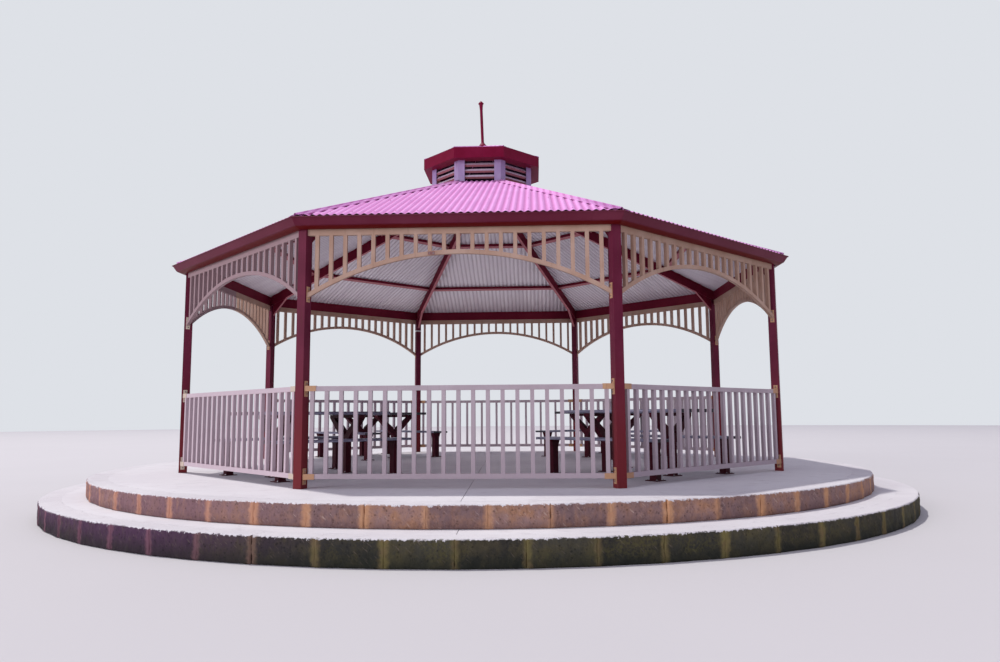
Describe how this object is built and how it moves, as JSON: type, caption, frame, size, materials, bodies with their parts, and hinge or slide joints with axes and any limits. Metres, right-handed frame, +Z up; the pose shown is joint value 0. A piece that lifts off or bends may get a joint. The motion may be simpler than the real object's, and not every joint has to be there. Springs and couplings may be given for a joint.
{
  "type": "octagonal park gazebo",
  "caption": "Open eight-sided park gazebo on a round stepped stone base, with a corrugated hipped roof, louvred lantern, arched valances, balustrades and picnic tables.",
  "frame": {"origin": "centre of the round base on the ground", "axes": "+Z up, front balustrade faces -Y, entrances face +X and -X"},
  "size_m": [11.4598, 11.4598, 6.0944],
  "materials": {
    "weathered_stone": "rough rock face, damp and mossy",
    "pale_stone": "rough rock face, dry",
    "concrete": "worn trowelled concrete",
    "red_paint": "satin gloss",
    "dark_red_paint": "satin gloss",
    "gutter_paint": "factory paint, satin",
    "roof_paint": "faded factory paint, matt",
    "cream_paint": "satin",
    "tan_paint": "matt",
    "plank_aluminium": "dull anodised, ribbed"
  },
  "bodies": {
    "root": {"balustrade_back": "cream_paint", "balustrade_back_left": "cream_paint", "balustrade_back_right": "cream_paint", "balustrade_front": "cream_paint", "balustrade_front_left": "cream_paint", "balustrade_front_right": "cream_paint", "bench_legs": "dark_red_paint", "bench_seats": "plank_aluminium", "crown_ring": "red_paint", "eaves_beams": "red_paint", "finial": "red_paint", "floor_slab": "concrete", "gutter_front": "gutter_paint", "gutters": "gutter_paint", "hip_caps": "roof_paint", "hip_rafters": "red_paint", "knee_braces": "red_paint", "lantern_blades": "cream_paint", "lantern_corners": "cream_paint", "lantern_fascia": "gutter_paint", "lantern_roof": "roof_paint", "lantern_soffit": "gutter_paint", "lower_purlins": "red_paint", "lower_step_slab": "concrete", "lower_step_wall": "weathered_stone", "post_back_left": "red_paint", "post_back_right": "red_paint", "post_front_left": "red_paint", "post_front_right": "red_paint", "post_left_back": "red_paint", "post_left_front": "red_paint", "post_right_back": "red_paint", "post_right_front": "red_paint", "rail_brackets": "tan_paint", "roof_sheets": "roof_paint", "table_frames": "dark_red_paint", "table_tops": "plank_aluminium", "upper_purlins": "red_paint", "upper_step_wall": "pale_stone", "valance_back": "cream_paint", "valance_back_left": "cream_paint", "valance_back_right": "cream_paint", "valance_brackets": "tan_paint", "valance_front": "cream_paint", "valance_front_left": "cream_paint", "valance_front_right": "cream_paint", "valance_left": "cream_paint", "valance_right": "cream_paint"}
  },
  "joints": []
}
